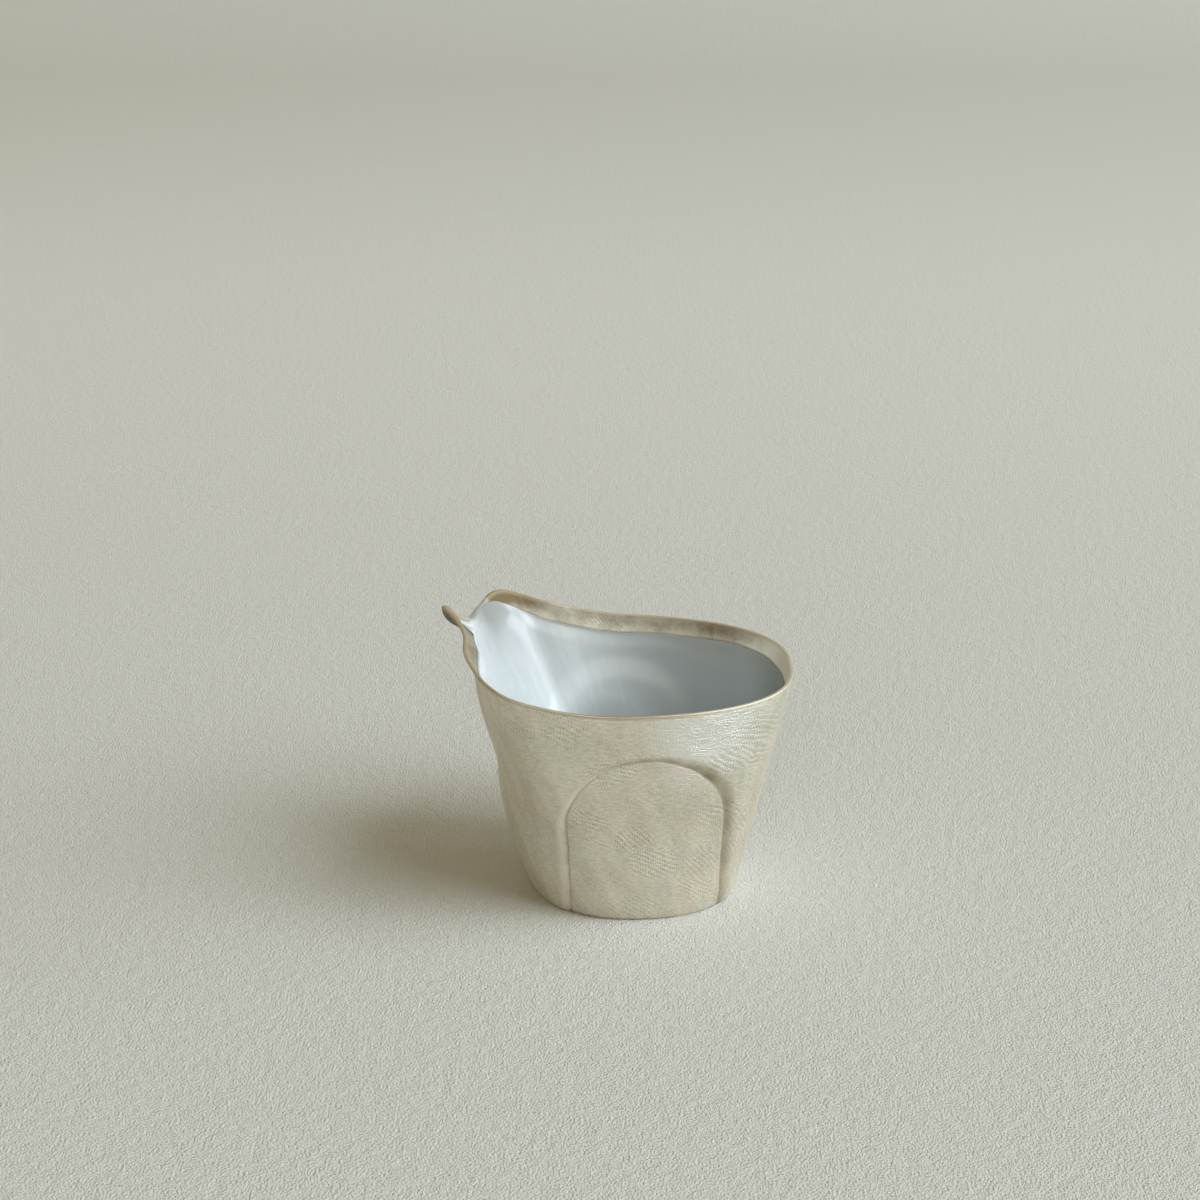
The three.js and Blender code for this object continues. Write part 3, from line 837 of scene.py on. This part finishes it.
def lining_skin():
    """Skin wiped over the wall and the plate: back up the wall, over the edge,
    down the face to the floor."""
    blank = turned_blank(lining_profile(), LINING_COLUMNS)
    places = places_of(blank)
    radius = radii_of(places)
    angle = column_angle(places)
    top = rim_height(angle) - lining_drop(angle)
    on_face = radius > 1.2
    middle = radius < 0.5
    under = BASE_PLATE + LINING_BACK
    z = blend(np.where(on_face, LINING_FLOOR, under), top, places[:, 2] / LINING_ROWS)
    below_edge = top - z
    feather = smooth(below_edge / LINING_FEATHER)
    thickness = blend(LINING_EDGE_THICKNESS, LINING_BODY_THICKNESS, feather)
    corner = LINING_CORNER * np.clip(1 - (z - LINING_FLOOR) / LINING_CORNER, 0, 1) ** 2
    formed = formed_wall(angle, z, SHEET + LINING_BACK + on_face * (thickness + corner))
    ripple = LINING_RIPPLE * feather + hammered(formed, LINING_RIPPLE, LINING_RIPPLE_WIDTH)
    ripple *= on_face * smooth(below_edge / LINING_RIPPLE_EASE)
    formed -= level_outward(angle, z) * ripple[:, None]
    lift = LINING_BEAK_LIFT * np.sqrt(beak_share(angle)) * fading(below_edge, 0, LINING_BEAK_LIFT_DROP)
    formed[:, 2] += on_face * lift
    formed[middle, :2] = 0
    formed[middle, 2] = np.where(places[middle, 2] > 0.5, LINING_FLOOR, under)
    # painted shade for the tin, joined with more of it on the floor
    painted_shade = lining_shade_share(angle, z, below_edge, places[:, 2] > LINING_ROWS - 0.5)
    on_floor = np.where(middle, 1, fading(z, LINING_FLOOR, FLOOR_SHADE_RISE))
    keep_values(blank, "painted_shade", blend(painted_shade, FLOOR_SHADE, on_floor))
    unroll(blank, angle, z)
    place_points(blank, formed)
    finish_piece(blank, "lining", "tin_lining", tin)


def base_disc():
    """Base plate: a flat oval with a bevelled edge."""
    blank = turned_blank([(0, 0), (1, 0), (1, 1), (0, 1)], BASE_COLUMNS)
    places = places_of(blank)
    angle = column_angle(places)
    z = BASE_PLATE * places[:, 2]
    inset = blend(SEAM_ROOT, SEAM_CROWN, places[:, 2])
    formed = raised_wall(angle, z, 0) - level_outward(angle, z) * inset[:, None]
    formed[radii_of(places) < 0.5, :2] = 0
    place_points(blank, formed)
    disc = finish_piece(blank, "base_disc", "base_plate", plate_metal)
    for face in disc.data.polygons:
        face.use_smooth = False


def solder_run():
    """Solder run into the seam between the plate and the wall, a little hollow on its lower face."""
    low = [(2, 0.08), (1.66, 0.3), (1.33, 0.34), (1, 0.1)]
    blank = turned_blank(low + [(1, 1), (2, 1)], SEAM_COLUMNS)
    places = places_of(blank)
    angle = column_angle(places)
    z = BASE_PLATE * places[:, 2]
    share = 2 - radii_of(places)
    at_wall = formed_wall(angle, z, np.full(len(z), SHEET - SEAM_LAP))
    plate_edge = blend(SEAM_ROOT, SEAM_CROWN, places[:, 2]) + SEAM_LAP
    at_plate = raised_wall(angle, z, 0) - level_outward(angle, z) * plate_edge[:, None]
    formed = blend(at_wall, at_plate, share[:, None])
    wavy = hammered(formed, SOLDER_WAVES, SOLDER_WAVE_WIDTH)
    formed[:, 2] += np.where((share > 0.2) & (share < 0.8), wavy, 0)
    place_points(blank, formed)
    finish_piece(blank, "solder_run", "base_solder_seam", solder_metal)


wall_shell()
lining_skin()
base_disc()
solder_run()


def paper_material():
    """Pale grained paper, darkened towards the back by painted shade."""
    material, tree, shader = new_material("pale_paper")
    place = stretched(tree, put(tree, "ShaderNodeTexCoord").outputs["Object"], (1000, 1000, 1000))
    grain = cloud(tree, place, 1.5, 2.0, 0.55)
    swell = cloud(tree, place, 0.3, 2.0, 0.5)
    height = figure(tree, "MULTIPLY_ADD", swell, 0.7, grain)
    behind = put(tree, "ShaderNodeSeparateXYZ", {0: place}).outputs[1]
    height = figure(tree, "MULTIPLY", height, spread_out(tree, behind, 40.0, 900.0, 1.0, 0.4))
    bump = put(tree, "ShaderNodeBump", {"Height": height, "Distance": 0.0011, "Strength": 1.0})
    colour = tinted(tree, spread_out(tree, grain, 0.3, 0.7), PAPER_LOW, PAPER_HIGH)
    # painted shade: the paper darkens towards the back
    colour = tinted(tree, spread_out(tree, behind, 150.0, 1900.0), colour, PAPER_SHADED_BEHIND)
    shader.inputs["Roughness"].default_value = 0.95
    shader.inputs["Specular IOR Level"].default_value = 0.2
    tree.links.new(colour, shader.inputs["Base Color"])
    tree.links.new(bump.outputs[0], shader.inputs["Normal"])
    return material


def paper_sweep():
    """Plain pale paper that lies under the pitcher and curves up behind it."""
    mesh = bmesh.new()
    profile = [(PAPER_FRONT, 0.0), (PAPER_FLAT_END, 0.0)]
    for turn in np.linspace(0, math.pi / 2, PAPER_BEND_STEPS + 1)[1:]:
        profile.append((PAPER_FLAT_END + PAPER_BEND * math.sin(turn), PAPER_BEND * (1 - math.cos(turn))))
    profile.append((PAPER_FLAT_END + PAPER_BEND, PAPER_TOP))
    line = [mesh.verts.new((-PAPER_SIDE, y, z)) for y, z in profile]
    edges = [mesh.edges.new(pair) for pair in zip(line, line[1:])]
    swept = bmesh.ops.extrude_edge_only(mesh, edges=edges)["geom"]
    moved = [item for item in swept if isinstance(item, bmesh.types.BMVert)]
    bmesh.ops.translate(mesh, verts=moved, vec=(2 * PAPER_SIDE, 0, 0))
    bmesh.ops.recalc_face_normals(mesh, faces=mesh.faces)
    data = bpy.data.meshes.new("paper")
    mesh.to_mesh(data)
    mesh.free()
    for face in data.polygons:
        face.use_smooth = True
    paper = bpy.data.objects.new("paper", data)
    bpy.context.scene.collection.objects.link(paper)
    data.materials.append(paper_material())


def soft_window(name, place, size, power, colour):
    lamp = bpy.data.lights.new(name, "AREA")
    lamp.shape = "RECTANGLE"
    lamp.size, lamp.size_y = size
    lamp.energy = power
    lamp.color = colour
    holder = bpy.data.objects.new(name, lamp)
    holder.location = place
    holder.rotation_euler = (Vector(WINDOW_AIM) - Vector(place)).to_track_quat("-Z", "Y").to_euler()
    bpy.context.scene.collection.objects.link(holder)


paper_sweep()
for window in WINDOWS:
    soft_window(*window)

world = bpy.data.worlds.new("room")
bpy.context.scene.world = world
world.use_nodes = True
background = world.node_tree.nodes["Background"]
background.inputs["Color"].default_value = ROOM_COLOUR
background.inputs["Strength"].default_value = ROOM_STRENGTH

camera_data = bpy.data.cameras.new("photo_camera")
camera_data.sensor_fit = "HORIZONTAL"
camera_data.sensor_width = CAMERA_SENSOR
camera_data.lens = CAMERA_LENS
camera_data.clip_start = 0.01
camera = bpy.data.objects.new("photo_camera", camera_data)
camera.location = CAMERA_PLACE
camera.rotation_euler = (CAMERA_TILT, 0, 0)
bpy.context.scene.collection.objects.link(camera)
bpy.context.scene.camera = camera
bpy.context.scene.view_settings.view_transform = "Standard"
